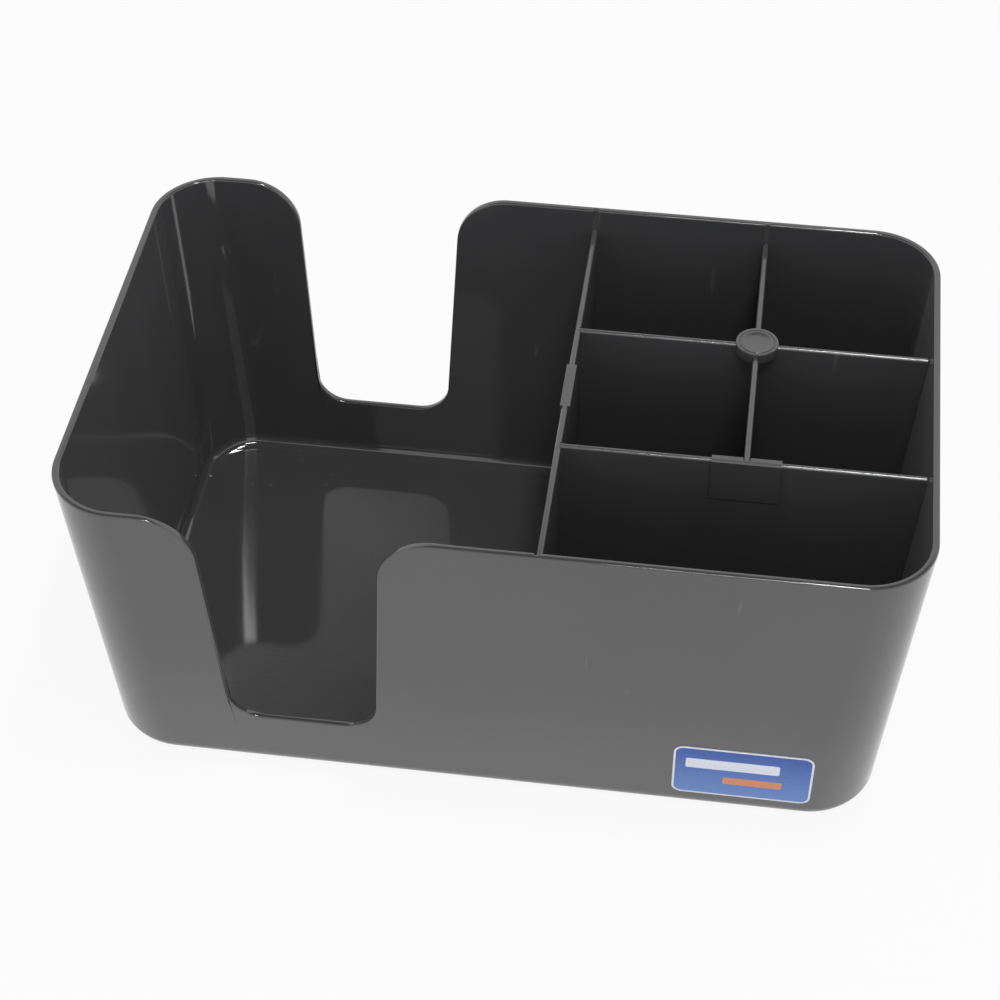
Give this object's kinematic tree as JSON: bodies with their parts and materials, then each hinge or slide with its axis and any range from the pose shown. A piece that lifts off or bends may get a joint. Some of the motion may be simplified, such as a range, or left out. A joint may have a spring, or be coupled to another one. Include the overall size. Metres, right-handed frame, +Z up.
{
  "type": "countertop napkin and straw caddy",
  "caption": "Open tapered black plastic caddy: a napkin bay with U-shaped thumb cut-outs at one end and a lift-out grid of straw and stirrer cells at the other.",
  "frame": {"origin": "middle of the flat underside", "axes": "+Z up, +X from the napkin bay to the cells, -Y to the front wall that has the label; the longest side runs along X"},
  "size_m": [0.241, 0.152, 0.1063],
  "materials": {
    "tray_plastic": "injection-moulded gloss black polystyrene, lightly scuffed by handling",
    "divider_plastic": "moulded black polystyrene, satin with bright rounded top edges",
    "label_film": "blank glossy vinyl label, blue with a white border"
  },
  "bodies": {
    "tray": {"caddy_tray": "tray_plastic", "blank_label": "label_film"},
    "divider_set": {"main_divider": "divider_plastic", "rear_divider": "divider_plastic", "front_divider": "divider_plastic", "cross_divider": "divider_plastic", "crossing_clip": "divider_plastic", "clip_cap": "divider_plastic"}
  },
  "joints": [
    {"name": "divider_lift", "type": "slide", "parent": "tray", "child": "divider_set", "axis": [0, 0, 1], "range_m": [0, 0.108]}
  ]
}
